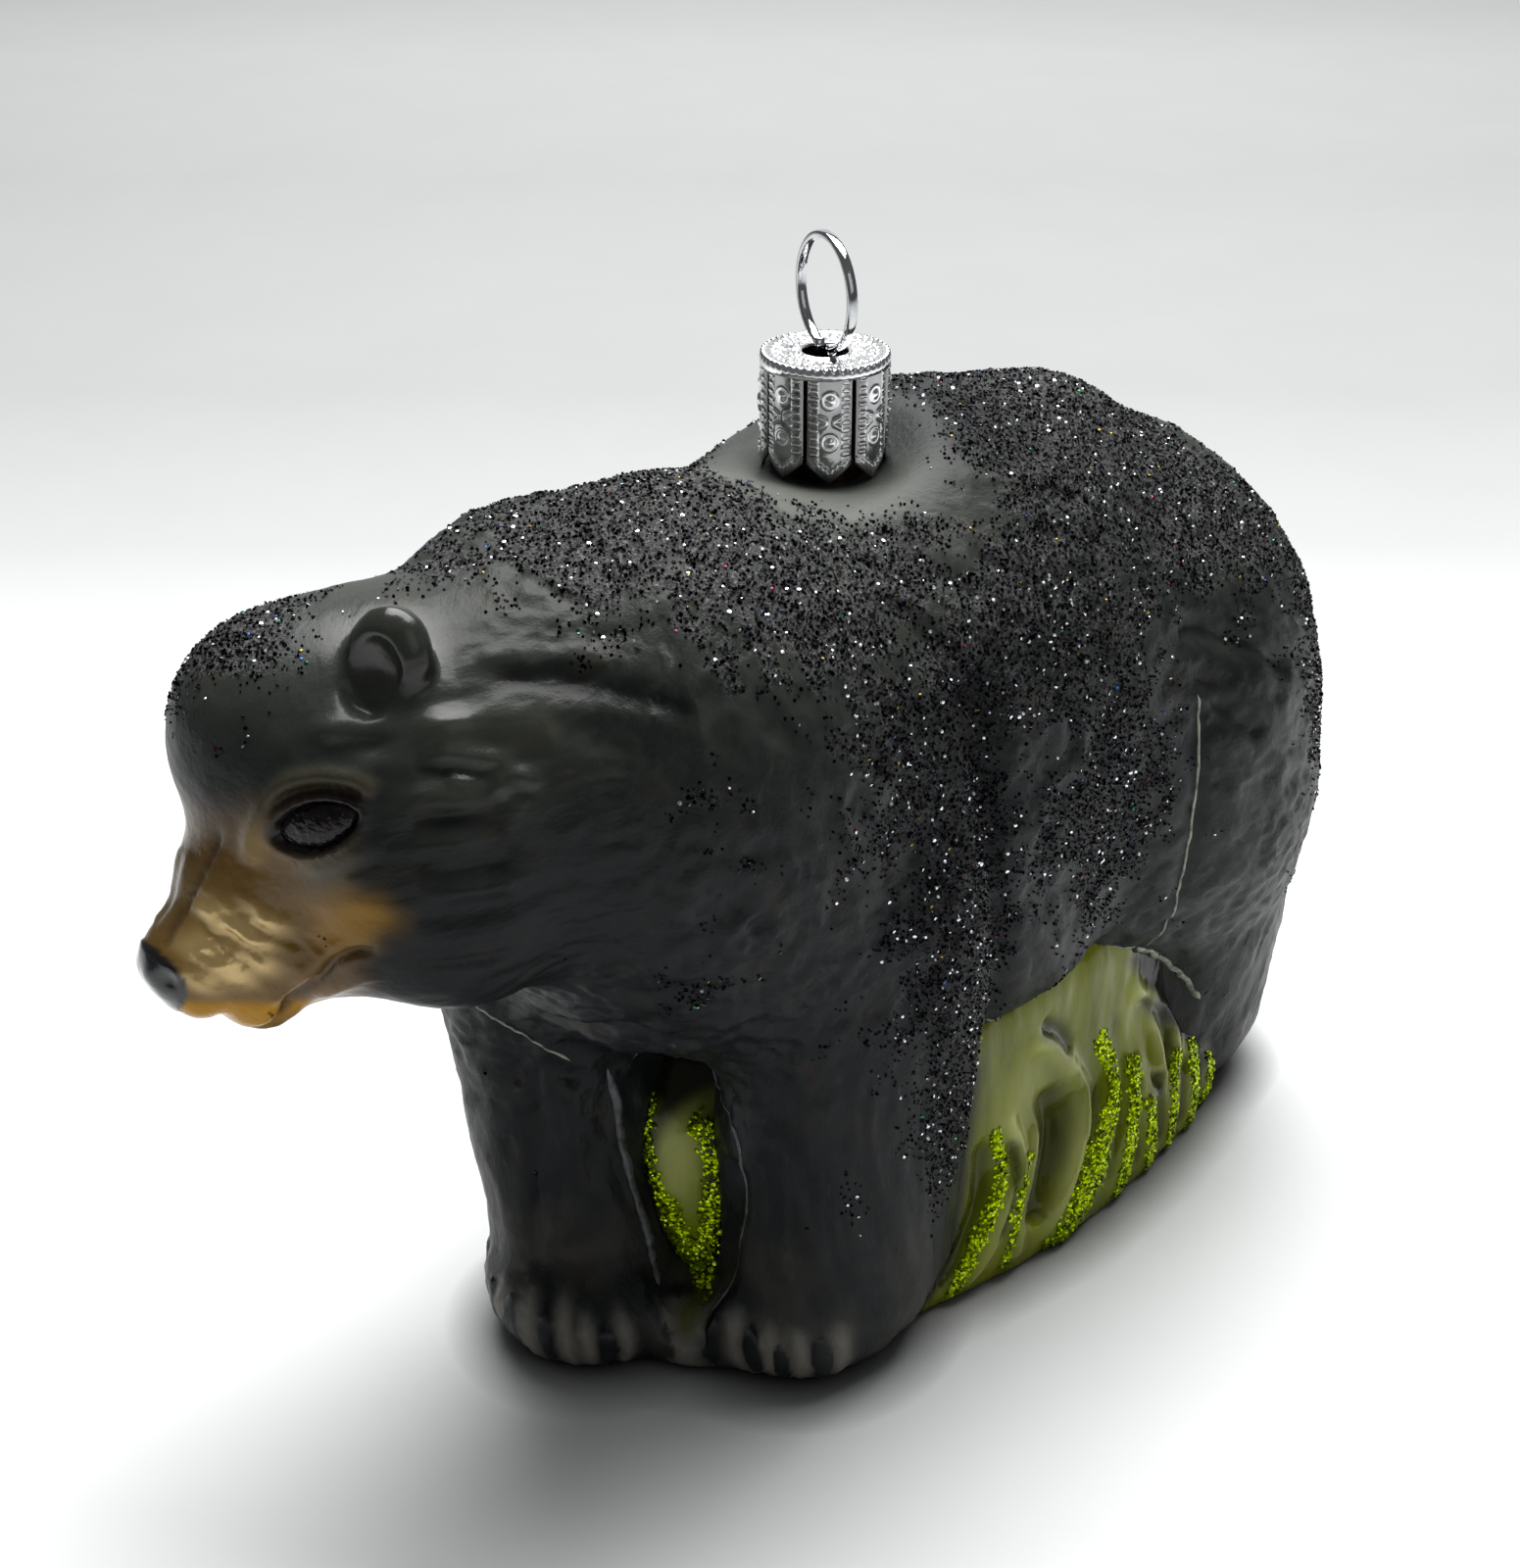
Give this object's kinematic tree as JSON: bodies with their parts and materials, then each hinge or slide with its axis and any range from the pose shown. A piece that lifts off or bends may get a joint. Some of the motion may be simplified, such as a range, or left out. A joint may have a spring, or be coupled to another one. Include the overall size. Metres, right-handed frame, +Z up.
{
  "type": "glass bear ornament",
  "caption": "Hollow glass black bear standing in a tuft of grass, with a crown cap on its back and a wire ring to hang it by.",
  "frame": {"origin": "middle of the footprint's bounding box, on the floor the ornament stands on", "axes": "+Z up, the bear faces -Y, +X is to the bear's left"},
  "size_m": [0.0536, 0.1252, 0.0957],
  "materials": {
    "painted_glass_black": "satin black paint with engraved fur and glitter",
    "painted_glass_tan": "pearly tan paint, glossy",
    "painted_glass_gloss_black": "gloss black paint",
    "painted_glass_green": "olive green glossy paint with glitter stripes",
    "silver_cap": "bright silver, embossed",
    "steel_wire": "bright drawn wire",
    "clear_glass": "clear, polished"
  },
  "bodies": {
    "root": {"head": "painted_glass_black", "neck": "painted_glass_black", "shoulders": "painted_glass_black", "barrel": "painted_glass_black", "rump": "painted_glass_black", "tail": "painted_glass_black", "ear_left": "painted_glass_black", "ear_right": "painted_glass_black", "foreleg_left": "painted_glass_black", "foreleg_right": "painted_glass_black", "forepaw_left": "painted_glass_black", "forepaw_right": "painted_glass_black", "hindleg_left": "painted_glass_black", "hindleg_right": "painted_glass_black", "hindpaw_left": "painted_glass_black", "hindpaw_right": "painted_glass_black", "muzzle": "painted_glass_tan", "lower_jaw": "painted_glass_tan", "nose": "painted_glass_gloss_black", "eye_left": "painted_glass_gloss_black", "eye_right": "painted_glass_gloss_black", "grass": "painted_glass_green", "crown_cap": "silver_cap", "hanging_ring": "steel_wire", "glass_neck": "clear_glass"}
  },
  "joints": []
}
